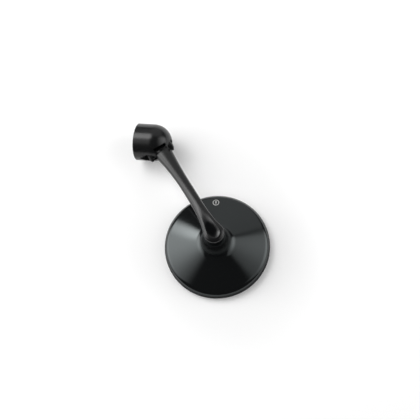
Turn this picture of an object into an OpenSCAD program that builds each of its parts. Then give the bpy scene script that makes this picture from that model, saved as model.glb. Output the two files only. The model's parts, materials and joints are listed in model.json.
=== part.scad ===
// Round bar end mirror for a motorcycle, lying on its glass as it would on a bench.
// The origin is the middle of the mirror's rim plane, +Z is the back of the mirror, and the arm runs
// along +X to the clamp that grips the end of the handlebar. Millimetres.

/* [Mirror head] */
// Outer diameter of the mirror housing
mirror_d = 100; // [90:0.5:110]
// Height of the straight band of the rim
rim_band = 3.5; // [3:0.1:5]
// Radius of the rolled shoulder above the band
shoulder_r = 7; // [6:0.5:9]
// Slope of the shallow cone, degrees
cone_slope = 20; // [17:0.5:22]
// Radius of the concave flare between the cone and the neck
flare_r = 13; // [10:0.5:18]
// Wall of the bell
shell_wall = 2; // [1.6:0.1:2.4]

/* [Glass] */
// From the outside of the rim to the edge of the glass
glass_inset = 3; // [2.8:0.1:8]
// Thickness of the glass
glass_t = 2; // [1.8:0.1:2.2]
// Radius of curvature of the convex glass
glass_curve_r = 1200; // [1000:50:2000]
// Set back of the glass from the rim plane
glass_recess = 0.4; // [0.2:0.1:0.8]
// Thickness of the adhesive pad behind the glass
pad_t = 1; // [0.6:0.1:1.2]
// Thickness of the backing plate
plate_t = 1.2; // [0.8:0.1:1.4]

/* [Ball joint] */
// Height of the ball's centre above the rim plane
ball_height = 33.2; // [32.6:0.1:35]
// Diameter of the ball
ball_d = 13; // [12.4:0.1:13.6]
// Diameter of the stem between the ball and the arm
stem_d = 6; // [5.2:0.1:6.2]
// Diameter of the threaded end of the stud
stud_thread_d = 5; // [4:0.5:5]
// Length of the threaded end of the stud
stud_thread_l = 7.2; // [5:0.2:7.4]
// From the ball's centre to the underside of the arm
stem_reach = 10.3; // [10:0.1:13]
// Thickness of the upper ball seat
seat_t = 1.8; // [1.4:0.1:2.2]
// Wall of the neck and of the hub inside the bell
neck_wall = 1.7; // [1.4:0.1:2.2]
// Thickness of one disc spring
disc_spring_t = 0.6; // [0.4:0.1:0.8]
// Height of the cone of one disc spring
disc_spring_rise = 0.4; // [0.2:0.1:0.6]
// Number of disc springs
disc_springs_n = 2; // [1:1:3]
// Thickness of the ring nut under the springs
ring_nut_t = 2.4; // [2:0.1:4]

/* [Arm] */
// From the pivot to the axis of the mirror
arm_reach = 104.5; // [95:0.5:120]
// Width of the arm at its waist
waist_w = 10.5; // [9:0.1:12]
// Thickness of the arm at its waist
waist_t = 8.6; // [8:0.1:10]
// Distance of the waist from the mirror's axis
waist_x = 55; // [45:1:60]
// Width of the arm where it meets the clamp
shoulder_w = 18; // [15:0.1:19]
// Diameter of the round end over the ball joint
end_d = 19.6; // [17:0.1:22]
// Thickness of the round end
end_t = 10; // [9.5:0.1:13]
// Depth of the hollow in the top of the round end
hollow_depth = 1.3; // [0:0.1:1.5]
// Sideways bow of the arm, away from the bolt's head
arm_bow = 1.4; // [0:0.1:2]
// Slope of the arm where it leaves the pivot, degrees
arm_slope = 19; // [13:1:24]
// Slope of the shoulders above and below the arm's line, degrees
shoulder_slope = 26; // [18:1:28]
// Exponent of the section's outline: 2 is an ellipse
section_power = 2.2; // [2:0.1:3.6]

/* [Pivot] */
// Diameter of the pivot bolt
bolt_d = 6; // [5:0.5:6]
// Diameter of the bolt's head
head_d = 10; // [9:0.1:10.4]
// Height of the bolt's domed head
head_h = 3.4; // [2.5:0.1:4]
// Height of the domed nut
nut_h = 3.2; // [2.6:0.1:4.5]
// Thickness of the lock washers
lock_washer_t = 1; // [0.8:0.1:1.2]
// Diameter of the arm's eye
eye_d = 13; // [12:0.1:13.6]
// Width of the arm's eye between the ears
eye_w = 12; // [11:0.1:12.6]
// Thickness of a friction washer beside the eye
friction_washer_t = 0.5; // [0.3:0.1:0.8]
// Wall of the bush in the eye
bush_wall = 1.4; // [1:0.1:1.6]
// Thickness of the ear under the head
head_ear_t = 4.2; // [3.6:0.1:4.6]
// Thickness of the ear under the nut
nut_ear_t = 2.2; // [1.8:0.1:3]
// Wall of the ears round the bolt
ear_wall = 1.8; // [1.4:0.1:2]
// Swing that the slot leaves to each side, degrees
slot_swing = 46; // [44:1:50]

/* [Clamp] */
// Outer diameter of the clamp
clamp_d = 35.4; // [34.5:0.1:40]
// From the centre of the domed end to the open rim
clamp_l = 16.2; // [15.5:0.1:24]
// Diameter of the bore for the handlebar
bar_bore_d = 22.4; // [20:0.1:22.6]
// Depth of the bore
bar_bore_l = 12.2; // [9:0.1:12.4]
// From the centre of the domed end to the pivot
pivot_offset = 12.4; // [12:0.1:13]
// Offset of the domed end's centre from the arm's plane, towards the bolt's head
dome_shift = 1.5; // [0:0.1:2]
// Angle in plan between the arm and the clamp's axis, degrees
clamp_turn = 51; // [46:1:56]
// Swing of the clamp about the pivot at rest, degrees
clamp_dip = 13; // [8:1:16]
// Diameter of the grub screws that grip the bar
grub_d = 5; // [4:0.5:6]
// Angle of each grub screw from the underside, degrees
grub_spread = 38; // [25:1:60]
// Chamfer of the clamp's edges
edge_chamfer = 0.6; // [0.3:0.1:1]

/* [Hidden] */
$fn = 96;

// Named clearances: between faces, in bores, round the ball seats, past the ends of threads and behind cuts
face_gap = 0.03;
fit_gap = 0.05;
turn_gap = 0.3;
end_gap = 0.2;
slot_room = 0.6;
shoulder_room = 0.4;
pocket_gap = 0.3;
cut_run = 2;

// Sizes worked out from the driving ones
mirror_r = mirror_d / 2;
glass_r = mirror_r - glass_inset;
ball_r = ball_d / 2;
stem_r = stem_d / 2;
end_r = end_d / 2;
bolt_r = bolt_d / 2;
head_r = head_d / 2;
eye_r = eye_d / 2;
clamp_r = clamp_d / 2;
grub_r = grub_d / 2;

// Glass stack, from the rim plane up
glass_back_z = glass_recess + glass_t;
pad_back_z = glass_back_z + pad_t;
plate_back_z = pad_back_z + plate_t;
seal_t = 1.2;
pocket_r = glass_r + seal_t;
ledge_z = plate_back_z + sag(pocket_r) + face_gap;
pad_edge = 1;
seal_set_back = 0.2;

// Bell outline: the rolled shoulder, the cone and the flare are tangent to each other
shoulder_c = [mirror_r - shoulder_r, rim_band];
cone_n = [sin(cone_slope), cos(cone_slope)];
cone_foot = shoulder_c + shoulder_r * cone_n;
cavity_r = ball_r + seat_t + turn_gap;
neck_r = cavity_r + neck_wall;
flare_c = [
  neck_r + flare_r,
  cone_foot[1] + (flare_r - (neck_r + flare_r - cone_foot[0]) * cone_n[0]) / cone_n[1]
];

// Neck and hub. The heights are above the ball's centre.
mouth_angle = 45;
lip_t = 0.5;
lip_h = cavity_r * cos(mouth_angle) + lip_t;
neck_top = ball_height + lip_h;
neck_round = 2;
seat_foot_h = 2.2;
seat_mouth_angle = 46;
cup_rim_h = -0.9;
cup_floor_t = 1.9;
cup_foot_h = -(ball_r + fit_gap + cup_floor_t);
springs_h = disc_springs_n * (disc_spring_t + disc_spring_rise + face_gap);
ring_nut_top_h = cup_foot_h - springs_h - face_gap;
ring_nut_foot_h = ring_nut_top_h - ring_nut_t;
hub_foot_h = ring_nut_foot_h - end_gap;
spring_hole_r = 4;
ring_nut_hole_r = 5;

// Arm heights
arm_end_foot_z = ball_height + stem_reach;
arm_end_z = arm_end_foot_z + end_t / 2;
stud_washer_r = 5.4;

// Arm: where its waist runs into the round end, and how the skin is divided
neck_join = 16.5;
join_x = end_r * sin(neck_join);
root_t = eye_d - shoulder_room;
hollow_share = 0.66;
hollow_l = 34;
section_sides = 36;
long_steps = 26;
tip_steps = 9;
tip_last = 84;
bow_turn = 150;

// Resting height of the pivot: the clamp's rim touches the plane that the mirror lies on
axis_fall = cos(clamp_turn) * sin(clamp_dip);
dome_z = clamp_r * sqrt(1 - axis_fall * axis_fall) + (clamp_l - edge_chamfer) * axis_fall;
pivot_z = dome_z + pivot_offset * sin(clamp_dip);
pivot = [arm_reach, 0, pivot_z];

// Pivot stack, from the middle of the eye outwards
slot_half = eye_w / 2 + friction_washer_t + 2 * face_gap;
head_seat = slot_half + head_ear_t;
washer_seat = slot_half + nut_ear_t;
nut_seat = washer_seat + lock_washer_t + 2 * face_gap;
slot_r = eye_r + slot_room;
shoulder_clear = eye_r + shoulder_room;
cheek_w = shoulder_w;
cheek_l = 2 * eye_d;
dome_r = 1.6 * head_r;
nut_cap_t = 1;
washer_edge = 0.6;
ear_r = bolt_r + fit_gap + ear_wall;
bush_r = bolt_r + fit_gap + bush_wall;

ink = [0.06, 0.06, 0.065];
coal = [0.1, 0.1, 0.105];
steel = [0.55, 0.56, 0.58];
polymer = [0.82, 0.8, 0.74];
bronze = [0.6, 0.45, 0.25];

// Rise of the convex glass at a distance from its middle
function sag(r) = glass_curve_r - sqrt(glass_curve_r * glass_curve_r - r * r);

// Points along an arc
function arc(c, r, from, to, steps) =
  [for (i = [0:steps]) c + r * [cos(from + (to - from) * i / steps), sin(from + (to - from) * i / steps)]];

// Where the flare ends: at the straight neck, or lower if the neck is too short for it
flare_end = neck_top - neck_round > flare_c[1] ? 180 : 180 + asin((flare_c[1] - neck_top + neck_round) / flare_r);
hub_angle = 180 + acos((flare_c[0] - neck_r) / (flare_r + shell_wall));
neck_edge_r = flare_c[0] + flare_r * cos(flare_end);

// Half outline of the bell, walked up the outside, over the lip and down the inside
bell_outline = concat(
  [[mirror_r, 0]],
  arc(shoulder_c, shoulder_r, 0, 90 - cone_slope, 12),
  arc(flare_c, flare_r, 270 - cone_slope, flare_end, 20),
  arc([neck_edge_r - neck_round, neck_top - neck_round], neck_round, 0, 90, 6),
  [[lip_h * tan(mouth_angle), neck_top]],
  arc([0, ball_height], cavity_r, 90 - mouth_angle, 0, 15),
  [[cavity_r, ball_height + hub_foot_h], [neck_r, ball_height + hub_foot_h]],
  arc(flare_c, flare_r + shell_wall, hub_angle, 270 - cone_slope, 16),
  arc(shoulder_c, shoulder_r - shell_wall, 90 - cone_slope, asin((ledge_z - rim_band) / (shoulder_r - shell_wall)), 8),
  [[pocket_r, ledge_z], [pocket_r, 0]]
);

// Disc that follows the curve of the glass
module curved_disc(r, apex_z, thick) {
  steps = 8;
  rotate_extrude()
    polygon(concat(
      [for (i = [0:steps]) [r * i / steps, apex_z + sag(r * i / steps)]],
      [for (i = [steps:-1:0]) [r * i / steps, apex_z + thick + sag(r * i / steps)]]
    ));
}

// Flat ring along Z
module ring(outer_r, inner_r, height) {
  difference() {
    cylinder(r = outer_r, h = height);
    translate([0, 0, -1]) cylinder(r = inner_r, h = height + 2);
  }
}

// Six-sided key recess
module hex_socket(across, deep) {
  cylinder(r = across / sqrt(3), h = deep, $fn = 6);
}

module at_ball() {
  translate([0, 0, ball_height]) children();
}

// Frame of the clamp: the pivot is its origin and the arm lies towards -X
module in_clamp() {
  translate(pivot) rotate([0, clamp_dip, 0]) children();
}

// Axis of the clamp: the origin is the dome's centre and +Z leads to the open rim
module on_clamp_axis() {
  in_clamp() translate([pivot_offset, dome_shift, 0]) rotate([0, 0, clamp_turn]) rotate([0, 90, 0]) children();
}

// Turns +Z onto the pivot's axis, which is +Y
module along_pivot(from) {
  in_clamp() translate([0, from, 0]) rotate([-90, 0, 0]) children();
}

module mirror_housing() {
  color(ink) rotate_extrude() polygon(bell_outline);
}

module mirror_glass() {
  color([0.75, 0.8, 0.85]) curved_disc(glass_r, glass_recess, glass_t);
}

module adhesive_pad() {
  color([0.2, 0.2, 0.2]) curved_disc(glass_r - pad_edge, glass_back_z + face_gap, pad_t - 2 * face_gap);
}

module backing_plate() {
  color(coal) curved_disc(pocket_r - face_gap, pad_back_z, plate_t);
}

// Rubber ring between the edge of the glass and the rim
module rim_seal() {
  foot_z = glass_recess + seal_set_back;
  color([0.04, 0.04, 0.04])
    translate([0, 0, foot_z])
      ring(pocket_r - face_gap, glass_r + face_gap, pad_back_z + sag(glass_r) - foot_z - face_gap);
}

// Spherical ring that the neck's lip presses on the ball
module upper_ball_seat() {
  outer_r = cavity_r - turn_gap;
  color(polymer) at_ball()
    difference() {
      sphere(r = outer_r);
      sphere(r = ball_r + fit_gap);
      translate([0, 0, seat_foot_h - 2 * outer_r])
        cylinder(r = 2 * outer_r, h = 2 * outer_r);
      cylinder(r1 = 0, r2 = outer_r * tan(seat_mouth_angle), h = outer_r);
    }
}

// Cup that the springs press up against the ball
module lower_ball_cup() {
  color(polymer) at_ball()
    difference() {
      translate([0, 0, cup_foot_h]) cylinder(r = cavity_r - turn_gap, h = cup_rim_h - cup_foot_h);
      sphere(r = ball_r + fit_gap);
    }
}

// Conical springs stacked back to back
module disc_springs() {
  outer_r = cavity_r - turn_gap;
  inner_r = spring_hole_r;
  one_h = disc_spring_t + disc_spring_rise;
  color(steel) at_ball()
    for (i = [0:disc_springs_n - 1])
      translate([0, 0, ring_nut_top_h + face_gap / 2 + i * (one_h + face_gap)])
        rotate_extrude()
          polygon(
            i % 2 == 0
              ? [[inner_r, disc_spring_rise], [outer_r, 0], [outer_r, disc_spring_t], [inner_r, one_h]]
              : [[inner_r, 0], [outer_r, disc_spring_rise], [outer_r, one_h], [inner_r, disc_spring_t]]
          );
}

// Slotted ring nut in the thread of the hub
module ring_nut() {
  slot_w = 2.5;
  slot_deep = 1.2;
  color(steel) at_ball() translate([0, 0, ring_nut_foot_h])
    difference() {
      ring(cavity_r - fit_gap, ring_nut_hole_r, ring_nut_t);
      translate([-cavity_r, -slot_w / 2, -1]) cube([2 * cavity_r, slot_w, slot_deep + 1]);
    }
}

module ball_stud() {
  flat_h = 0.9 * ball_r;
  stem_from = ball_r / 2;
  color(steel) at_ball() {
    intersection() {
      sphere(r = ball_r);
      translate([0, 0, -flat_h]) cylinder(r = ball_r + 1, h = flat_h + ball_r + 1);
    }
    translate([0, 0, stem_from]) cylinder(r = stem_r, h = stem_reach - stem_from - face_gap);
    translate([0, 0, stem_from]) cylinder(r = stud_thread_d / 2, h = stem_reach - stem_from + stud_thread_l);
  }
}

module stud_washer() {
  color(steel) translate([0, 0, arm_end_foot_z])
    ring(stud_washer_r, stud_thread_d / 2 + fit_gap, lock_washer_t - face_gap);
}

// Half width of the arm at a distance from the mirror's axis
function half_w(x) =
  x > waist_x ? waist_w / 2 + (shoulder_w - waist_w) / 2 * pow((x - waist_x) / (arm_reach - waist_x), 2)
  : x > join_x ? waist_w / 2 + (end_r * cos(neck_join) - waist_w / 2) * pow((waist_x - x) / (waist_x - join_x), 4)
  : sqrt(end_r * end_r - x * x);

// Half thickness of the arm
function half_t(x) =
  x > waist_x ? waist_t / 2 + (root_t - waist_t) / 2 * pow((x - waist_x) / (arm_reach - waist_x), 2)
  : waist_t / 2 + (end_t - waist_t) / 2 * pow((waist_x - max(x, 0)) / waist_x, 2);

// Height of the arm's middle line: a cubic that leaves the pivot at arm_slope and ends level
arm_rise = arm_end_z - pivot_z;
start_rate = tan(arm_slope) * arm_reach / arm_rise;
function middle_z(x) =
  let (t = (arm_reach - max(x, 0)) / arm_reach)
  pivot_z + arm_rise * (start_rate * t + (3 - 2 * start_rate) * t * t + (start_rate - 2) * t * t * t);

// Sideways place of the arm's middle line, which is still bowed a little at the pivot
function middle_y(x) = -arm_bow * sin(bow_turn * max(x, 0) / arm_reach);

// Share of the way from the middle of the section to its edge
function edge_share(x, y) = x < 0 ? sqrt(x * x + y * y) / end_r : abs(y) / half_w(x);

// Hollow in the top of the round end, which fades out along the arm
function hollow(x, q) =
  q >= hollow_share || x > hollow_l ? 0
  : hollow_depth * pow(1 - q * q / hollow_share / hollow_share, 1.5) * pow(1 - max(x, 0) / hollow_l, 1.5);

// One closed section of the arm
function signed_pow(v, e) = sign(v) * pow(abs(v), e);
function section(x) =
  [for (i = [0:section_sides - 1])
    let (
      a = 360 * i / section_sides,
      y = half_w(x) * signed_pow(cos(a), 2 / section_power),
      q = min(1, edge_share(x, y)),
      h = half_t(x) * pow(1 - pow(q, section_power), 1 / section_power)
    )
    [x, middle_y(x) + y, middle_z(x) + sign(sin(a)) * h - (sin(a) > 0 ? hollow(x, q) : 0)]
  ];

// Stations of the sections, from the pivot to the tip of the round end
stations = concat(
  [for (i = [0:long_steps]) arm_reach * (1 - i / long_steps)],
  [for (i = [1:tip_steps]) -end_r * sin(tip_last * i / tip_steps)]
);

// Skin over a row of closed sections with the same number of points
module skin(rows) {
  n = len(rows[0]);
  m = len(rows);
  points = [for (row = rows) each row];
  sides = [
    for (j = [0:m - 2], i = [0:n - 1])
      let (a = j * n + i, b = j * n + (i + 1) % n, c = a + n, d = b + n)
      each [[a, b, d], [a, d, c]]
  ];
  first_cap = [for (i = [1:n - 2]) [0, i + 1, i]];
  last_cap = [for (i = [1:n - 2]) [(m - 1) * n, (m - 1) * n + i, (m - 1) * n + i + 1]];
  polyhedron(points = points, faces = concat(sides, first_cap, last_cap), convexity = 6);
}

// Cut on each side of the eye that lets the ears pass: round, with two slopes away from the pivot
module cheek_cut() {
  upper = cheek_l * [-cos(arm_slope + shoulder_slope), sin(arm_slope + shoulder_slope)];
  lower = cheek_l * [-cos(arm_slope - shoulder_slope), sin(arm_slope - shoulder_slope)];
  rotate([90, 0, 0])
    linear_extrude(height = cheek_w, center = true) {
      circle(r = shoulder_clear);
      polygon([[0, 0], upper, [upper[0], 2 * cheek_l], [cheek_l, 2 * cheek_l], [cheek_l, 0]]);
      polygon([[0, 0], [cheek_l, 0], [cheek_l, -cheek_l], [lower[0], -cheek_l], lower]);
    }
}

module arm() {
  color(coal)
    difference() {
      union() {
        skin([for (x = stations) section(x)]);
        translate(pivot) rotate([90, 0, 0]) cylinder(r = eye_r, h = eye_w, center = true);
      }
      for (side = [-1, 1])
        translate(pivot) translate([0, side * (eye_w / 2 + cheek_w / 2), 0]) cheek_cut();
      translate(pivot) rotate([90, 0, 0]) cylinder(r = bush_r + face_gap, h = eye_w + 2, center = true);
      translate([0, 0, arm_end_foot_z - cut_run]) {
        cylinder(r = stud_thread_d / 2 + fit_gap, h = cut_run + stud_thread_l + end_gap);
        cylinder(r = stud_washer_r + fit_gap, h = cut_run + lock_washer_t);
      }
    }
}

// Plain bush pressed into the eye
module pivot_bush() {
  bush_w = eye_w - 2 * face_gap;
  color(bronze) along_pivot(-bush_w / 2) ring(bush_r, bolt_r + fit_gap, bush_w);
}

// Low dome with its flat side at the pivot's side, for the head and for the nut
module domed_cap(height) {
  intersection() {
    cylinder(r = head_r, h = height);
    translate([0, 0, height - dome_r]) sphere(r = dome_r);
  }
}

module pivot_bolt() {
  socket_deep = 2;
  socket_w = 4;
  shank_from = nut_seat + nut_h - nut_cap_t - end_gap;
  color(ink)
    difference() {
      union() {
        along_pivot(head_seat + face_gap) domed_cap(head_h);
        along_pivot(-shank_from) cylinder(r = bolt_r, h = shank_from + head_seat + head_h / 2);
      }
      along_pivot(head_seat + head_h - socket_deep) hex_socket(socket_w, socket_deep + 1);
    }
}

// Domed nut on the far end of the bolt
module pivot_nut() {
  color(ink)
    difference() {
      along_pivot(-nut_seat) rotate([180, 0, 0]) domed_cap(nut_h);
      along_pivot(-(nut_seat + nut_h - nut_cap_t)) cylinder(r = bolt_r + fit_gap, h = nut_h);
    }
}

// Split washer under the nut
module pivot_lock_washer() {
  split_w = 0.8;
  color(steel)
    difference() {
      along_pivot(-(washer_seat + face_gap + lock_washer_t)) ring(head_r - washer_edge / 4, bolt_r + fit_gap, lock_washer_t);
      in_clamp() translate([bolt_r - 1, -washer_seat - lock_washer_t - 1, -split_w / 2])
        cube([head_r, lock_washer_t + 2, split_w]);
    }
}

// One thin washer on each side of the eye
module friction_washers() {
  outer_r = eye_r - washer_edge;
  color(polymer)
    for (from = [-eye_w / 2 - face_gap - friction_washer_t, eye_w / 2 + face_gap])
      along_pivot(from) ring(outer_r, bolt_r + fit_gap, friction_washer_t);
}

// Slot for the eye: round behind the pivot, with flanks that stop the swing
module eye_slot() {
  run = 2 * clamp_r;
  flank = slot_r * [sin(slot_swing), cos(slot_swing)];
  far = flank + run * [-cos(slot_swing), sin(slot_swing)];
  in_clamp() rotate([90, 0, 0])
    linear_extrude(height = 2 * slot_half, center = true) {
      circle(r = slot_r);
      polygon([flank, far, [far[0], -far[1]], [flank[0], -flank[1]]]);
    }
}

module clamp_body() {
  outside = 10;
  color(coal)
    difference() {
      on_clamp_axis() {
        sphere(r = clamp_r);
        cylinder(r = clamp_r, h = clamp_l - edge_chamfer);
        translate([0, 0, clamp_l - edge_chamfer])
          cylinder(r1 = clamp_r, r2 = clamp_r - edge_chamfer, h = edge_chamfer);
      }
      along_pivot(-washer_seat) cylinder(r = ear_r, h = washer_seat + head_seat);
      on_clamp_axis() {
        translate([0, 0, clamp_l - bar_bore_l]) cylinder(r = bar_bore_d / 2, h = clamp_l + clamp_r);
        translate([0, 0, clamp_l - edge_chamfer])
          cylinder(r1 = bar_bore_d / 2, r2 = bar_bore_d / 2 + 2 * edge_chamfer, h = 2 * edge_chamfer);
      }
      eye_slot();
      along_pivot(-clamp_r) cylinder(r = bolt_r + fit_gap, h = 2 * clamp_r);
      along_pivot(head_seat) cylinder(r = head_r + pocket_gap, h = outside);
      along_pivot(-washer_seat - outside) cylinder(r = head_r + pocket_gap, h = outside);
      at_grubs() cylinder(r = grub_r + fit_gap, h = clamp_r);
    }
}

// Places for the grub screws, with +Z leading out from the bore's axis
module at_grubs() {
  for (side = [-1, 1])
    on_clamp_axis() translate([0, 0, clamp_l - bar_bore_l / 2])
      rotate([0, 0, side * grub_spread]) rotate([0, 90, 0]) children();
}

module grub_screws() {
  tip = bar_bore_d / 2 + end_gap;
  socket_deep = 2.5;
  socket_w = 2.5;
  screw_l = clamp_r - edge_chamfer - tip;
  color(ink)
    at_grubs() translate([0, 0, tip])
      difference() {
        cylinder(r = grub_r, h = screw_l);
        translate([0, 0, screw_l - socket_deep]) hex_socket(socket_w, socket_deep + 1);
      }
}

mirror_housing();
mirror_glass();
adhesive_pad();
backing_plate();
rim_seal();
upper_ball_seat();
lower_ball_cup();
disc_springs();
ring_nut();
ball_stud();
stud_washer();
arm();
pivot_bush();
pivot_bolt();
pivot_nut();
pivot_lock_washer();
friction_washers();
clamp_body();
grub_screws();
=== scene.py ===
import json
import math

import bmesh
import bpy
from mathutils import Matrix, Vector


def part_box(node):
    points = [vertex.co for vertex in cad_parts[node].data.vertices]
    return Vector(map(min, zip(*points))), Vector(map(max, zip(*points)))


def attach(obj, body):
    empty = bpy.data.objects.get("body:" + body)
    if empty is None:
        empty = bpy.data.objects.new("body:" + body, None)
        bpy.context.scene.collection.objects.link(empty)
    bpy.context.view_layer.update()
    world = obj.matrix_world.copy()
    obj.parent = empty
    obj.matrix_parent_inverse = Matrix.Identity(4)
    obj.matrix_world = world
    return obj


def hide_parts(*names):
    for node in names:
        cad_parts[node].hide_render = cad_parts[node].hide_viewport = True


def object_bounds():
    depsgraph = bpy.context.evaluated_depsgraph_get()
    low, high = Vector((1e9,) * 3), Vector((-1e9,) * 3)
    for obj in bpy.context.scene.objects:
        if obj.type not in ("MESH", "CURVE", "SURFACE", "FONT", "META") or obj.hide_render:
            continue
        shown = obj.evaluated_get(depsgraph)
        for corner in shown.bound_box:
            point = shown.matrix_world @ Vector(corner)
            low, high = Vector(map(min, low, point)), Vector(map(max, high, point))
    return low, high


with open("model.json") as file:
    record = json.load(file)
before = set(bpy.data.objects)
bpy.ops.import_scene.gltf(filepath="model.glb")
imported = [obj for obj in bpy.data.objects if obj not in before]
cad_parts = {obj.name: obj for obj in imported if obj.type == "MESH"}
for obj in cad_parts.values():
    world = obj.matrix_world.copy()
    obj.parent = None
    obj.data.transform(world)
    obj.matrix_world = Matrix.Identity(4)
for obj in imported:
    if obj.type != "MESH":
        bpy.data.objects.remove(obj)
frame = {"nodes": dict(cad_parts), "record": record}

cad_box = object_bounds()
NODES = frame["nodes"]
MM = 0.001

# Sizes of the mirror housing as packed, in millimetres
MIRROR_R = 50.0
RIM_BAND = 3.5
SHOULDER_R = 7.0
CONE_SLOPE = math.radians(20)
FLARE_R = 13.0
SHELL_WALL = 2.0
CAVITY_R = 8.6
NECK_R = 10.3
NECK_ROUND = 2.0
BALL_HEIGHT = 33.2
MOUTH_ANGLE = 45
LIP_BREAK = 0.5
HUB_FOOT_H = -13.14
POCKET_R = 48.2
LEDGE_Z = 5.6
EDGE_BREAK = 0.35
POCKET_BREAK = 0.2

# Sizes of the arm and its pivot as packed, in millimetres, with slopes in degrees
ARM_REACH = 104.5
WAIST_X = 55.0
WAIST_W = 10.5
WAIST_T = 8.6
SHOULDER_W = 18.0
END_R = 9.8
END_T = 10.0
ARM_END_Z = 48.5
ARM_BOW = 1.4
BOW_TURN = math.radians(150)
ARM_SLOPE = 19.0
SHOULDER_SLOPE = 26.0
SECTION_POWER = 2.2
EYE_R = 6.5
EYE_W = 12.0
EYE_STEP = 0.4
CHEEK_GAP = 0.4
PIVOT_Z = 22.52
BUSH_BORE_R = 4.48
BOLT_HEAD_R = 5.0
BOLT_HEAD_H = 3.4
HOLLOW_L = 34.0
HOLLOW_DEPTH = 1.3

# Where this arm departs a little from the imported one: over the round end its top is
# flatter and lower, by a share, and its hollow is narrower with a crisper lip
END_POWER = 3.3
END_DROP = 0.12
HOLLOW_SHARE = 0.6
HOLLOW_POWER = 2.2

# Areas of painted shade, in millimetres: the housing's neck and edge, which are also rougher, and the
# core of the arm's hollow, where matt black is mixed in
NECK_DULL_SHADE_R = 11.0
NECK_GLOSS_R = 17.0
EDGE_DULL_SHADE_Z = RIM_BAND + 1.5
EDGE_GLOSS_Z = RIM_BAND + 4.5
CORE_MIDDLE = (3.8, 0.8)
CORE_HALF_L = 10.5
CORE_HALF_W = 5.6
ENAMEL_SHADE_SHARE = 0.7
CORE_SHADE_SHARE = 0.92

# Where the photograph was taken from and its scale, with the distance in metres
AZIMUTH = math.radians(253.1)
ELEVATION = math.radians(72.5)
ROLL = math.radians(13.8)
CAMERA_DISTANCE = 1.5
PHOTO_WIDTH_PX = 420
MM_PER_PX = 0.951
MIRROR_AT_PX = (217.5, 247.5)
SENSOR_MM = 36.0

# Floor and lamps, in metres: the floor's glow, the share of it near the object, which paints a deeper
# shadow there, the oval round the object where it grows to the whole, and how far in a lamp's border
# fades
FLOOR_SIZE = 6.0
FLOOR_GAP = 0.0002
FLOOR_LIFT = 0.27
NEAR_LIFT = 0.55
NEAR_MIDDLE = (45 * MM, 0)
NEAR_HALF_L = 130 * MM
NEAR_HALF_W = 85 * MM
BORDER = 0.45
LAMP_AIM = Vector((0.03, 0, 0.02))
WORLD_LEVEL = 0.07

BLACK = (0.003, 0.0033, 0.0036)
SHARP_ANGLE = math.radians(32)

# Level directions to the right and to the top of the picture
LEVEL = Vector((math.cos(AZIMUTH), math.sin(AZIMUTH), 0))
AWAY = Vector((-math.sin(AZIMUTH), math.cos(AZIMUTH), 0))


def link_object(name, data):
    """A new object in the scene, at the origin and unscaled."""
    thing = bpy.data.objects.new(name, data)
    bpy.context.scene.collection.objects.link(thing)
    return thing


# Camera

def camera_axes():
    """Right, up and backward directions of the photograph's camera."""
    back = Vector((
        math.sin(AZIMUTH) * math.cos(ELEVATION),
        -math.cos(AZIMUTH) * math.cos(ELEVATION),
        math.sin(ELEVATION),
    ))
    rise = back.cross(LEVEL)
    right = LEVEL * math.cos(ROLL) - rise * math.sin(ROLL)
    up = LEVEL * math.sin(ROLL) + rise * math.cos(ROLL)
    return right, up, back


def add_camera():
    """Long lens that gives the mirror its size and place in the photograph."""
    right, up, back = camera_axes()
    half = PHOTO_WIDTH_PX / 2
    aside = (MIRROR_AT_PX[0] - half) * MM_PER_PX * MM
    below = (MIRROR_AT_PX[1] - half) * MM_PER_PX * MM
    centre = -right * aside + up * below
    data = bpy.data.cameras.new("long_lens")
    data.sensor_width = SENSOR_MM
    data.lens = SENSOR_MM * CAMERA_DISTANCE / (PHOTO_WIDTH_PX * MM_PER_PX * MM)
    data.clip_start = 0.05
    data.clip_end = 20
    camera = link_object("long_lens", data)
    turn = Matrix((right, up, back)).transposed().to_4x4()
    camera.matrix_world = Matrix.Translation(centre + back * CAMERA_DISTANCE) @ turn
    bpy.context.scene.camera = camera


# Nodes

class Wire:
    """What one output of a node carries, with the maths that is used on it."""

    def __init__(self, tree, socket):
        self.tree = tree
        self.socket = socket

    def math(self, operation, a, b):
        return add_node(self.tree, "ShaderNodeMath", {"operation": operation}, {0: a, 1: b})

    def __add__(self, other):
        return self.math("ADD", self, other)

    __radd__ = __add__

    def __mul__(self, other):
        return self.math("MULTIPLY", self, other)

    __rmul__ = __mul__

    def __sub__(self, other):
        return self.math("SUBTRACT", self, other)

    def __rsub__(self, other):
        return self.math("SUBTRACT", other, self)

    def between(self, low, high):
        """0 below low, 1 above high and smooth between them."""
        return add_node(
            self.tree, "ShaderNodeMapRange", {"interpolation_type": "SMOOTHSTEP"},
            {"Value": self, "From Min": low, "From Max": high},
        )

    def blend(self, first, second):
        """First colour where this is 0, second where it is 1."""
        return add_node(
            self.tree, "ShaderNodeMix", {"data_type": "RGBA"},
            {0: self, 6: (*first, 1), 7: (*second, 1)}, out=2,
        )

    def parts(self):
        """X, Y and Z of a position, each as a wire."""
        return [
            add_node(self.tree, "ShaderNodeSeparateXYZ", None, {0: self}, out=i)
            for i in range(3)
        ]


def add_node(tree, kind, settings=None, inputs=None, out=0):
    """Adds a node: its settings first, then the values or links of its sockets.

    It gives the output named or numbered by out as a wire, or None for a node without outputs.
    """
    node = tree.nodes.new(kind)
    for name, value in (settings or {}).items():
        setattr(node, name, value)
    for key, value in (inputs or {}).items():
        if isinstance(value, Wire):
            tree.links.new(value.socket, node.inputs[key])
        else:
            node.inputs[key].default_value = value
    return Wire(tree, node.outputs[out]) if node.outputs else None


def noise(place, scale, detail, roughness):
    """Cloudy noise from 0 to 1, with scale in features for each metre."""
    return add_node(
        place.tree, "ShaderNodeTexNoise", None,
        {"Vector": place, "Scale": scale, "Detail": detail, "Roughness": roughness},
    )


def bump(height, strength, distance):
    """Normal of a surface raised by height, with distance in metres."""
    return add_node(
        height.tree, "ShaderNodeBump", None,
        {"Height": height, "Strength": strength, "Distance": distance},
    )


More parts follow.
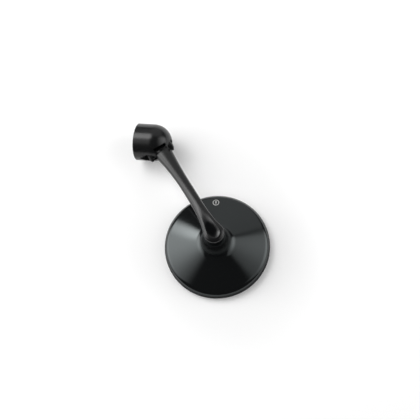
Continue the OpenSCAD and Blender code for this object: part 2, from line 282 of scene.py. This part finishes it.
def oval(x, y, middle, half_l, half_w):
    """0 at the middle of an oval in X and Y, 1 on its edge and more beyond."""
    along = (x - middle[0]) * (1 / half_l)
    across = (y - middle[1]) * (1 / half_w)
    return along * along + across * across


# Finishes

def start_material(name):
    """A bare material and the object's own coordinates in its tree."""
    material = bpy.data.materials.new(name)
    material.use_nodes = True
    material.node_tree.nodes.clear()
    return material, add_node(material.node_tree, "ShaderNodeTexCoord", out="Object")


def principled(place, **inputs):
    """Principled shader, with its sockets by their names with _ for a space."""
    named = {name.replace("_", " "): value for name, value in inputs.items()}
    return add_node(place.tree, "ShaderNodeBsdfPrincipled", None, named)


def painted_shade(surface, share):
    """Mixes a matt black over the surface as painted shade, by a share that varies from place to
    place.
    """
    matt = add_node(surface.tree, "ShaderNodeBsdfDiffuse", None, {"Color": (*BLACK, 1)})
    return add_node(surface.tree, "ShaderNodeMixShader", None, {0: share, 1: surface, 2: matt})


def end_material(material, surface):
    """Joins the surface to the material's output."""
    add_node(material.node_tree, "ShaderNodeOutputMaterial", None, {"Surface": surface})
    return material


def paint_finish():
    """Gloss black stove enamel: a faint orange peel and a little dust; rougher at the neck and edge,
    with painted shade there.
    """
    material, place = start_material("gloss_black_enamel")
    flow = noise(place, scale=95.0, detail=2.0, roughness=0.45)
    drift = noise(place, scale=26.0, detail=3.0, roughness=0.5)
    specks = noise(place, scale=1500.0, detail=2.0, roughness=0.6).between(0.73, 0.8)
    x, y, z = place.parts()
    # painted shade: the neck and the edge get matt black mixed in, besides more roughness and less
    # coat
    neck = 1 - (x * x + y * y).between((NECK_DULL_SHADE_R * MM) ** 2, (NECK_GLOSS_R * MM) ** 2)
    edge = 1 - z.between(EDGE_DULL_SHADE_Z * MM, EDGE_GLOSS_Z * MM)
    matt = neck + edge
    surface = principled(
        place,
        Base_Color=specks.blend(BLACK, (0.05, 0.05, 0.048)),
        Roughness=0.075 + 0.05 * drift + 0.18 * specks + 0.3 * matt,
        Coat_Weight=0.35 - 0.35 * matt,
        Coat_Roughness=0.04,
        Normal=bump(flow, strength=0.06, distance=0.0004),
        Specular_IOR_Level=0.5,
        # painted light: a cool tint in the reflections stands in for cool lamp light
        Specular_Tint=(0.88, 0.99, 1, 1),
    )
    return end_material(material, painted_shade(surface, ENAMEL_SHADE_SHARE * matt))


def coat_finish():
    """Satin black coating over a casting: a fine grain, and painted shade in the core of the arm's
    hollow.
    """
    material, place = start_material("satin_black_coating")
    grain = noise(place, scale=2600.0, detail=2.0, roughness=0.6)
    cloud = noise(place, scale=70.0, detail=4.0, roughness=0.55)
    surface = principled(
        place,
        Base_Color=cloud.blend((0.0045, 0.0047, 0.005), (0.0065, 0.0067, 0.007)),
        Roughness=0.2 + 0.07 * cloud + 0.03 * grain,
        Normal=bump(grain, strength=0.09, distance=0.00006),
        Specular_IOR_Level=0.42,
    )
    # painted shade: matt black mixed into the core of the hollow on the round end's top
    x, y, z = place.parts()
    middle = [c * MM for c in CORE_MIDDLE]
    core = 1 - oval(x, y, middle, CORE_HALF_L * MM, CORE_HALF_W * MM).between(0.35, 1.0)
    upper = z.between(ARM_END_Z * MM, (ARM_END_Z + 1) * MM)
    return end_material(material, painted_shade(surface, CORE_SHADE_SHARE * core * upper))


def steel_finish(name, tone, rough, metallic):
    """Turned metal with fine rings of tool marks, dark or bright by its tone."""
    material, place = start_material(name)
    marks = add_node(
        place.tree, "ShaderNodeTexWave", {"wave_type": "RINGS"},
        {"Vector": place, "Scale": 420.0, "Distortion": 3.0, "Detail": 2.0}, out=1,
    )
    haze = noise(place, scale=240.0, detail=3.0, roughness=0.55)
    surface = principled(
        place,
        Base_Color=haze.blend(tone, tuple(c * 1.35 for c in tone)),
        Roughness=rough + 0.12 * haze,
        Normal=bump(marks, strength=0.06, distance=0.00003),
        Metallic=metallic,
        Specular_IOR_Level=0.15,
    )
    return end_material(material, surface)


def glass_finish():
    """Silvered glass, almost clean."""
    material, place = start_material("silvered_glass")
    film = noise(place, scale=60.0, detail=4.0, roughness=0.6)
    surface = principled(
        place,
        Base_Color=film.blend((0.86, 0.89, 0.9), (0.92, 0.94, 0.94)),
        Roughness=0.012 + 0.02 * film.between(0.45, 0.75),
        Metallic=1.0,
    )
    return end_material(material, surface)


def soft_finish(name, tone, rough, grain_scale, depth):
    """Rubber, foam or moulded plastic: a matt skin with its own grain."""
    material, place = start_material(name)
    grain = noise(place, scale=grain_scale, detail=4.0, roughness=0.6)
    surface = principled(
        place,
        Base_Color=grain.blend(tuple(c * 0.8 for c in tone), tuple(c * 1.15 for c in tone)),
        Roughness=rough + 0.1 * grain,
        Normal=bump(grain, strength=0.25, distance=depth),
    )
    return end_material(material, surface)


def ink_finish():
    """Pale grey pad printing, slightly worn."""
    material, place = start_material("pale_print")
    wear = noise(place, scale=3200.0, detail=3.0, roughness=0.6).between(0.3, 0.62)
    surface = principled(
        place,
        Base_Color=wear.blend((0.4, 0.4, 0.39), (0.8, 0.8, 0.78)),
        Roughness=0.45 + 0.1 * wear,
    )
    return end_material(material, surface)


FINISHES = {
    "gloss_black": paint_finish(),
    "satin_black": coat_finish(),
    "black_steel": steel_finish("blackened_steel", (0.006, 0.006, 0.0063), 0.34, 0.0),
    "plain_steel": steel_finish("bright_steel", (0.5, 0.5, 0.51), 0.25, 1.0),
    "glass": glass_finish(),
    "foam": soft_finish("pad_foam", (0.05, 0.05, 0.05), 0.8, 900.0, 0.0003),
    "rubber": soft_finish("black_rubber", (0.012, 0.012, 0.012), 0.6, 1400.0, 0.00008),
    "polymer": soft_finish("natural_acetal", (0.62, 0.6, 0.54), 0.35, 500.0, 0.00004),
    "black_plastic": soft_finish("black_moulding", (0.012, 0.012, 0.0125), 0.42, 1100.0, 0.00006),
    "bronze": steel_finish("bearing_bronze", (0.42, 0.26, 0.1), 0.3, 1.0),
}
PRINT = ink_finish()


def dress_nodes():
    """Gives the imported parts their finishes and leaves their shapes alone."""
    slots = {row["node"]: row["material_slot"] for row in frame["record"]["subparts"]}
    for name, node in NODES.items():
        node.data.materials.clear()
        node.data.materials.append(FINISHES[slots[name]])


# Meshes

def to_mesh(name, bm):
    """The finished mesh of a bmesh, which is freed."""
    mesh = bpy.data.meshes.new(name)
    bm.to_mesh(mesh)
    bm.free()
    return mesh


def finish_piece(name, mesh, material, body):
    """Links a mesh as a piece of the object, smooth between its sharp edges, and lets it ride."""
    mesh.materials.clear()
    mesh.materials.append(material)
    mesh.shade_smooth()
    mesh.set_sharp_from_angle(angle=SHARP_ANGLE)
    piece = link_object(name, mesh)
    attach(piece, body)
    return piece


def arc(centre, radius, start, end, steps):
    """Points along an arc, with its ends in degrees."""
    points = []
    for i in range(steps + 1):
        a = math.radians(start + (end - start) * i / steps)
        points.append((centre[0] + radius * math.cos(a), centre[1] + radius * math.sin(a)))
    return points


def lathe(name, outline, sides):
    """Closed outline of radius and height, in millimetres, turned about +Z."""
    bm = bmesh.new()
    rings = []
    for r, z in outline:
        ring = []
        for k in range(sides):
            a = 2 * math.pi * k / sides
            ring.append(bm.verts.new((r * MM * math.cos(a), r * MM * math.sin(a), z * MM)))
        rings.append(ring)
    for j, ring in enumerate(rings):
        after = rings[(j + 1) % len(rings)]
        for k in range(sides):
            n = (k + 1) % sides
            bm.faces.new((ring[k], ring[n], after[n], after[k]))
    bmesh.ops.recalc_face_normals(bm, faces=bm.faces)
    return to_mesh(name, bm)


def prism(name, outline, low_y, high_y):
    """Cutter: an outline in X and Z, in millimetres, drawn along Y."""
    bm = bmesh.new()
    near = [bm.verts.new((x * MM, low_y * MM, z * MM)) for x, z in outline]
    far = [bm.verts.new((x * MM, high_y * MM, z * MM)) for x, z in outline]
    bm.faces.new(near)
    bm.faces.new(list(reversed(far)))
    for i in range(len(outline)):
        n = (i + 1) % len(outline)
        bm.faces.new((near[i], far[i], far[n], near[n]))
    bmesh.ops.recalc_face_normals(bm, faces=bm.faces)
    return link_object(name, to_mesh(name, bm))


def solved(thing):
    """The mesh of an object after its modifiers."""
    bpy.context.view_layer.update()
    graph = bpy.context.evaluated_depsgraph_get()
    return bpy.data.meshes.new_from_object(thing.evaluated_get(graph))


def cut(target, tools, operation="DIFFERENCE"):
    """Applies the tools to the target one by one and removes them."""
    for tool in tools:
        step = target.modifiers.new("cut", "BOOLEAN")
        step.operation = operation
        step.solver = "EXACT"
        step.object = tool
        mesh = solved(target)
        target.modifiers.clear()
        target.data = mesh
        bpy.data.objects.remove(tool)


# Mirror housing: at 45 degrees the lip of the ball's cavity is as far out as it is up

LIP_R = CAVITY_R * math.cos(math.radians(MOUTH_ANGLE)) + LIP_BREAK
SHOULDER_C = (MIRROR_R - SHOULDER_R, RIM_BAND)
CONE_N = (math.sin(CONE_SLOPE), math.cos(CONE_SLOPE))
CONE_FOOT = tuple(SHOULDER_C[i] + SHOULDER_R * CONE_N[i] for i in (0, 1))
FLARE_C = (
    NECK_R + FLARE_R,
    CONE_FOOT[1] + (FLARE_R - (NECK_R + FLARE_R - CONE_FOOT[0]) * CONE_N[0]) / CONE_N[1],
)


def bell_outline():
    """Outline of the bell: shoulder, cone and flare outside, and lip, ball cavity and shell inside."""
    slope = math.degrees(CONE_SLOPE)
    neck_top = BALL_HEIGHT + LIP_R
    hub_z = BALL_HEIGHT + HUB_FOOT_H
    hub_angle = 180 + math.degrees(math.acos((FLARE_C[0] - NECK_R) / (FLARE_R + SHELL_WALL)))
    ledge_angle = math.degrees(math.asin((LEDGE_Z - RIM_BAND) / (SHOULDER_R - SHELL_WALL)))
    return (
        [(MIRROR_R - EDGE_BREAK, 0), (MIRROR_R, EDGE_BREAK)]
        + arc(SHOULDER_C, SHOULDER_R, 0, 90 - slope, 24)
        + arc(FLARE_C, FLARE_R, 270 - slope, 180, 48)
        + arc((NECK_R - NECK_ROUND, neck_top - NECK_ROUND), NECK_ROUND, 0, 90, 12)
        + [(LIP_R, neck_top)]
        + arc((0, BALL_HEIGHT), CAVITY_R, MOUTH_ANGLE, 0, 16)
        + [(CAVITY_R, hub_z), (NECK_R, hub_z)]
        + arc(FLARE_C, FLARE_R + SHELL_WALL, hub_angle, 270 - slope, 18)
        + arc(SHOULDER_C, SHOULDER_R - SHELL_WALL, 90 - slope, ledge_angle, 8)
        + [(POCKET_R, LEDGE_Z), (POCKET_R, POCKET_BREAK), (POCKET_R + POCKET_BREAK, 0)]
    )


def add_housing():
    """Bell turned about the mirror's axis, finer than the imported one."""
    mesh = lathe("housing_shell", bell_outline(), 192)
    piece = finish_piece("housing_shell", mesh, FINISHES["gloss_black"], "head")
    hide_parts("mirror_housing")


def cone_height(r):
    """Height of the cone's surface above the rim plane, in millimetres."""
    return CONE_FOOT[1] + (CONE_FOOT[0] - r) * math.tan(CONE_SLOPE)


def add_print():
    """Small printed ring with a plain arrow, in millimetres, draped on the cone near the rim."""
    mark_r = 41.2
    mark_angle = math.radians(-29.2)
    ring_r = 3.05
    stroke = 0.5
    lift = 0.03
    sides = 72
    shaft_w, head_w = 0.25, 1.05
    foot, join, tip = -1.5, 0.3, 1.6
    centre = Vector((math.cos(mark_angle), math.sin(mark_angle))) * mark_r
    outward = centre.normalized()
    across = Vector((-outward.y, outward.x))
    bm = bmesh.new()

    def on_cone(a, b):
        spot = centre + across * a + outward * b
        height = cone_height(spot.length) + lift
        return bm.verts.new((spot.x * MM, spot.y * MM, height * MM))

    inner, outer = [], []
    for i in range(sides):
        a = 2 * math.pi * i / sides
        inner.append(on_cone((ring_r - stroke) * math.cos(a), (ring_r - stroke) * math.sin(a)))
        outer.append(on_cone(ring_r * math.cos(a), ring_r * math.sin(a)))
    for i in range(sides):
        n = (i + 1) % sides
        bm.faces.new((inner[i], outer[i], outer[n], inner[n]))
    shaft = [(-shaft_w, foot), (shaft_w, foot), (shaft_w, join), (-shaft_w, join)]
    head = [(-head_w, join), (head_w, join), (0, tip)]
    for shape in (shaft, head):
        bm.faces.new([on_cone(a, b) for a, b in shape])
    for face in bm.faces:
        face.normal_update()
        if face.normal.z < 0:
            face.normal_flip()
    finish_piece("printed_mark", to_mesh("printed_mark", bm), PRINT, "head")


# Arm: x is the distance from the mirror's axis, all in millimetres

NECK_JOIN = math.radians(16.5)
JOIN_X = END_R * math.sin(NECK_JOIN)


def half_w(x):
    """Half width of the arm."""
    if x > WAIST_X:
        past = (x - WAIST_X) / (ARM_REACH - WAIST_X)
        return WAIST_W / 2 + (SHOULDER_W - WAIST_W) / 2 * past ** 2
    if x > JOIN_X:
        grown = END_R * math.cos(NECK_JOIN) - WAIST_W / 2
        return WAIST_W / 2 + grown * ((WAIST_X - x) / (WAIST_X - JOIN_X)) ** 4
    return math.sqrt(END_R * END_R - x * x)


def half_t(x):
    """Half thickness of the arm."""
    if x > WAIST_X:
        past = (x - WAIST_X) / (ARM_REACH - WAIST_X)
        return WAIST_T / 2 + (2 * EYE_R - EYE_STEP - WAIST_T) / 2 * past ** 2
    return WAIST_T / 2 + (END_T - WAIST_T) / 2 * ((WAIST_X - max(x, 0)) / WAIST_X) ** 2


def middle_z(x):
    """Height of the arm's middle line, which leaves the pivot at the arm's slope."""
    rise = ARM_END_Z - PIVOT_Z
    rate = math.tan(math.radians(ARM_SLOPE)) * ARM_REACH / rise
    t = (ARM_REACH - max(x, 0)) / ARM_REACH
    return PIVOT_Z + rise * (rate * t + (3 - 2 * rate) * t * t + (rate - 2) * t ** 3)


def middle_y(x):
    """Sideways place of the arm's middle line."""
    return -ARM_BOW * math.sin(BOW_TURN * max(x, 0) / ARM_REACH)


def hollow(x, q):
    """Depth of the hollow in the top of the round end, at q of the way out from the middle line."""
    if q >= HOLLOW_SHARE or x > HOLLOW_L:
        return 0.0
    fade = (1 - max(x, 0) / HOLLOW_L) ** 1.5
    return HOLLOW_DEPTH * (1 - (q / HOLLOW_SHARE) ** HOLLOW_POWER) * fade


def over_end(x):
    """0 along the arm and 1 over the round end, with a smooth change between."""
    near = min(max(1 - x / HOLLOW_L, 0), 1)
    return near * near * (3 - 2 * near)


def top_height(x, q):
    """Height of the upper surface over the middle line: flatter and lower over the round end."""
    power = SECTION_POWER + (END_POWER - SECTION_POWER) * over_end(x)
    crown = half_t(x) * (1 - END_DROP * over_end(x))
    return crown * (1 - q ** power) ** (1 / power) - hollow(x, q)


def arm_section(x, sides):
    """Points round the arm at x: a soft oval, with the hollow in its top."""
    points = []
    for i in range(sides):
        a = 2 * math.pi * (i + 0.5) / sides
        reach = math.copysign(abs(math.cos(a)) ** (2 / SECTION_POWER), math.cos(a))
        y = half_w(x) * reach
        q = math.hypot(x, y) / END_R if x < 0 else abs(y) / half_w(x)
        q = min(q, 1.0)
        under = half_t(x) * (1 - q ** SECTION_POWER) ** (1 / SECTION_POWER)
        h = top_height(x, q) if math.sin(a) > 0 else -under
        points.append((x, middle_y(x) + y, middle_z(x) + h))
    return points


def arm_blank():
    """The arm as one skin over its sections, from the pivot to the tip of the round end."""
    long_steps, tip_steps, sides = 96, 24, 96
    tip_turn = math.radians(88)
    stations = [ARM_REACH * (1 - i / long_steps) for i in range(long_steps + 1)]
    stations += [-END_R * math.sin(tip_turn * i / tip_steps) for i in range(1, tip_steps + 1)]
    bm = bmesh.new()
    rows = []
    for x in stations:
        rows.append([bm.verts.new(tuple(c * MM for c in p)) for p in arm_section(x, sides)])
    for near, far in zip(rows, rows[1:]):
        for i in range(sides):
            n = (i + 1) % sides
            bm.faces.new((near[i], near[n], far[n], far[i]))
    bm.faces.new(rows[0])
    bm.faces.new(rows[-1])
    bmesh.ops.recalc_face_normals(bm, faces=bm.faces)
    return link_object("arm_lever_blank", to_mesh("arm_lever", bm))


def pivot_circle(radius):
    """Round outline about the pivot, in X and Z."""
    return [(ARM_REACH + x, PIVOT_Z + z) for x, z in arc((0, 0), radius, 0, 360, 96)[:-1]]


def cheek_outline(upper):
    """Outline of one half of the shoulder's cut beside the eye, round at the pivot."""
    reach = 24.0
    lean = ARM_SLOPE + SHOULDER_SLOPE if upper else SHOULDER_SLOPE - ARM_SLOPE
    side = 1 if upper else -1
    round_part = arc((0, 0), EYE_R + CHEEK_GAP, 180 - lean, 0, 24)
    far = (-reach * math.cos(math.radians(lean)), reach * math.sin(math.radians(lean)))
    points = list(reversed(round_part))[1:]
    points += [far, (far[0], 2 * reach), (reach, 2 * reach), (reach, 0)]
    return [(ARM_REACH + x, PIVOT_Z + side * z) for x, z in points]


def add_arm():
    """Curved lever with a hollowed round end, its eye and its bevelled shoulders."""
    cheek_w = 20
    lever = arm_blank()
    cut(lever, [prism("eye", pivot_circle(EYE_R), -EYE_W / 2, EYE_W / 2)], "UNION")
    cheeks = []
    for side in (-1, 1):
        for upper in (True, False):
            ends = sorted((side * EYE_W / 2, side * (EYE_W / 2 + cheek_w)))
            cheeks.append(prism("cheek", cheek_outline(upper), *ends))
    cut(lever, cheeks)
    cut(lever, [prism("eye_bore", pivot_circle(BUSH_BORE_R), -EYE_W, EYE_W)])
    mesh = lever.data
    bpy.data.objects.remove(lever)
    mesh.name = "arm_lever"
    piece = finish_piece("arm_lever", mesh, FINISHES["satin_black"], "arm")
    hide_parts("arm")


# Knurl on the head of the pivot bolt, made of small ridges placed round it

def knurl_tree():
    """Geometry tree that sets slightly tapered ridges round a circle on +Z and joins them."""
    taper = 0.9
    ridge_sides = 6
    tree = bpy.data.node_groups.new("knurl_ridges", "GeometryNodeTree")
    face = tree.interface
    face.new_socket("Geometry", in_out="OUTPUT", socket_type="NodeSocketGeometry")
    sockets = {
        "Radius": "NodeSocketFloat",
        "Length": "NodeSocketFloat",
        "Ridge": "NodeSocketFloat",
        "Count": "NodeSocketInt",
        "Material": "NodeSocketMaterial",
    }
    for name, kind in sockets.items():
        face.new_socket(name, in_out="INPUT", socket_type=kind)
    given = {name: add_node(tree, "NodeGroupInput", out=name) for name in sockets}
    circle = add_node(
        tree, "GeometryNodeMeshCircle", None,
        {"Vertices": given["Count"], "Radius": given["Radius"]},
    )
    ridge = add_node(
        tree, "GeometryNodeMeshCone", None,
        {"Vertices": ridge_sides, "Radius Top": taper * given["Ridge"],
         "Radius Bottom": given["Ridge"], "Depth": given["Length"]},
    )
    outward = add_node(tree, "GeometryNodeInputPosition")
    turn = add_node(
        tree, "FunctionNodeAlignRotationToVector", {"axis": "X"}, {"Vector": outward},
    )
    ridges = add_node(
        tree, "GeometryNodeInstanceOnPoints", None,
        {"Points": circle, "Instance": ridge, "Rotation": turn},
    )
    real = add_node(tree, "GeometryNodeRealizeInstances", None, {0: ridges})
    painted = add_node(
        tree, "GeometryNodeSetMaterial", None,
        {"Geometry": real, "Material": given["Material"]},
    )
    add_node(tree, "NodeGroupOutput", None, {0: painted})
    return tree


def add_knurl():
    """Fine ridges round the bolt's head, which stand in its surface by half their width."""
    sink = 0.02
    over_foot = 0.15
    foot_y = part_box("pivot_bolt")[1][1] - BOLT_HEAD_H * MM
    values = {
        "Radius": (BOLT_HEAD_R - sink) * MM,
        "Length": 1.3 * MM,
        "Ridge": 0.16 * MM,
        "Count": 60,
        "Material": FINISHES["black_steel"],
    }
    blank = link_object("knurl_blank", bpy.data.meshes.new("knurl_blank"))
    step = blank.modifiers.new("knurl", "NODES")
    step.node_group = knurl_tree()
    for item in step.node_group.interface.items_tree:
        if item.item_type == "SOCKET" and item.in_out == "INPUT":
            step[item.identifier] = values[item.name]
    mesh = solved(blank)
    bpy.data.objects.remove(blank)
    spot = Vector((ARM_REACH * MM, foot_y + over_foot * MM, PIVOT_Z * MM))
    mesh.transform(Matrix.Translation(spot) @ Matrix.Rotation(math.radians(-90), 4, "X"))
    finish_piece("head_knurl", mesh, FINISHES["black_steel"], "clamp")


# Floor and light

def add_floor():
    """Pale floor that keeps the shadow and looks white to the camera and in reflections, with a
    painted shadow round the object where its glow is weaker.
    """
    half = FLOOR_SIZE / 2
    corners = [(-half, -half, 0), (half, -half, 0), (half, half, 0), (-half, half, 0)]
    mesh = bpy.data.meshes.new("table_top")
    mesh.from_pydata(corners, [], [(0, 1, 2, 3)])
    floor = link_object("table_top", mesh)
    floor.location.z = min(cad_box[0][2], 0) - FLOOR_GAP
    material, place = start_material("white_table")
    tree = place.tree
    plain = principled(
        place, Base_Color=(0.86, 0.86, 0.86, 1), Roughness=0.9, Specular_IOR_Level=0.0,
    )
    glow = add_node(tree, "ShaderNodeEmission", None, {"Strength": FLOOR_LIFT})
    lit = add_node(tree, "ShaderNodeAddShader", None, {0: plain, 1: glow})
    camera, glossy, through = (
        add_node(tree, "ShaderNodeLightPath", out=name)
        for name in ("Is Camera Ray", "Is Glossy Ray", "Is Transmission Ray")
    )
    x, y, _ = place.parts()
    # painted shadow: the glow is weaker inside the oval round the object
    far = oval(x, y, NEAR_MIDDLE, NEAR_HALF_L, NEAR_HALF_W).between(0.6, 2.0)
    share = (camera + glossy + through) * (NEAR_LIFT + (1 - NEAR_LIFT) * far)
    surface = add_node(tree, "ShaderNodeMixShader", None, {0: share, 1: plain, 2: lit})
    mesh.materials.append(end_material(material, surface))


def add_softbox(name, place, size, radiance, edge=1.0, hot=(0.5, 0.5)):
    """Soft lamp aimed at the mirror, with its place to the picture's right, to its top and up.

    Its cloth has the given radiance at its hot spot, the edge share of it far from there,
    and fades out at its border. The hot spot is given as shares of the width and the length.
    """
    side, away, height = place
    width, length = size
    data = bpy.data.lights.new(name, "AREA")
    data.shape = "RECTANGLE"
    data.size = width
    data.size_y = length
    data.energy = radiance * math.pi * width * length
    data.use_nodes = True
    tree = data.node_tree
    spot = add_node(tree, "ShaderNodeNewGeometry", out="Parametric")
    offset = add_node(
        tree, "ShaderNodeVectorMath", {"operation": "SUBTRACT"}, {0: spot, 1: (*hot, 0)},
    )
    reach = add_node(
        tree, "ShaderNodeVectorMath", {"operation": "LENGTH"}, {0: offset}, out="Value",
    )
    u, v, _ = spot.parts()
    border = 16 * u * (1 - u) * v * (1 - v)
    strength = (1 - (1 - edge) * reach.between(0.05, 0.62)) * border.between(0.0, BORDER)
    tree.links.new(strength.socket, tree.nodes["Emission"].inputs["Strength"])
    lamp = link_object(name, data)
    centre = LEVEL * side + AWAY * away + Vector((0, 0, height))
    depth = (centre - LAMP_AIM).normalized()
    ahead = (AWAY - depth * AWAY.dot(depth)).normalized()
    turn = Matrix((ahead.cross(depth), ahead, depth)).transposed().to_4x4()
    lamp.matrix_world = Matrix.Translation(centre) @ turn


def add_world():
    """White to the camera and dim to everything else."""
    world = bpy.data.worlds.new("studio")
    bpy.context.scene.world = world
    world.use_nodes = True
    tree = world.node_tree
    ground = tree.nodes["Background"]
    ground.inputs["Color"].default_value = (1, 1, 1, 1)
    camera = add_node(tree, "ShaderNodeLightPath", out="Is Camera Ray")
    strength = WORLD_LEVEL + (1 - WORLD_LEVEL) * camera
    tree.links.new(strength.socket, ground.inputs["Strength"])


def add_light():
    add_softbox(
        "left_softbox", place=(-0.8, 0.3, 0.56), size=(1.4, 1.35),
        radiance=3.85, edge=0.18, hot=(0.45, 0.62),
    )
    add_softbox(
        "right_softbox", place=(0.83, -0.2, 0.56), size=(1.35, 1.3),
        radiance=2.6, edge=0.25, hot=(0.66, 0.66),
    )
    add_softbox("back_card", place=(0.5, 1.0, 0.72), size=(1.5, 1.7), radiance=0.6, edge=0.9)
    add_softbox("top_lamp", place=(-0.44, 0.68, 1.02), size=(0.8, 0.8), radiance=4.6)
    add_world()


add_camera()
dress_nodes()
add_housing()
add_print()
add_arm()
add_knurl()
add_floor()
add_light()
bpy.context.scene.view_settings.view_transform = "Standard"
